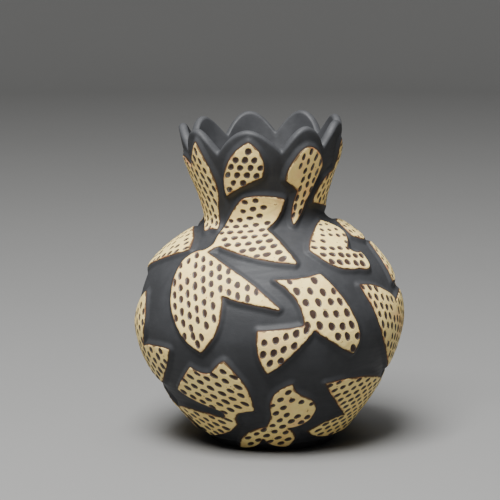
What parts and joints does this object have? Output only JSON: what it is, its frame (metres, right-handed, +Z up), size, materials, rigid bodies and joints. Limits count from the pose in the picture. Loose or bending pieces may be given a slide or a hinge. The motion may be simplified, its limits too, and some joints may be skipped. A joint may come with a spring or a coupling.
{
  "type": "clay pot",
  "caption": "Hand-built black clay pot with a globe belly, narrow neck, flaring scalloped collar and raised cream panels with dark dots.",
  "frame": {"origin": "on the ground, on the pot's axis, in the flat underside", "axes": "+Z up, -Y the front, +X to the right of someone looking at the front; the pot leans 3 degrees towards -X"},
  "size_m": [0.1401, 0.1404, 0.1679],
  "materials": {
    "black_clay": "satin, unglazed, hand-burnished",
    "cream_slip": "matte slip"
  },
  "bodies": {
    "root": {"base_disc": "black_clay", "belly_wall": "black_clay", "neck_collar": "black_clay", "neck_left": "cream_slip", "neck_front": "cream_slip", "neck_right": "cream_slip", "neck_side": "cream_slip", "neck_back_1": "cream_slip", "neck_back_2": "cream_slip", "neck_back_3": "cream_slip", "neck_back_4": "cream_slip", "crown_heart": "cream_slip", "shoulder_left": "cream_slip", "bean_right": "cream_slip", "shoulder_right": "cream_slip", "rim_right": "cream_slip", "crown_heart_back": "cream_slip", "bean_back": "cream_slip", "bow_front": "cream_slip", "flank_left": "cream_slip", "flank_right": "cream_slip", "bow_back_1": "cream_slip", "bow_back_2": "cream_slip", "wing_low_left": "cream_slip", "bow_low": "cream_slip", "wing_low_right": "cream_slip", "bow_low_back": "cream_slip", "wing_back_1": "cream_slip", "wing_back_2": "cream_slip", "drop_back": "cream_slip"}
  },
  "joints": []
}
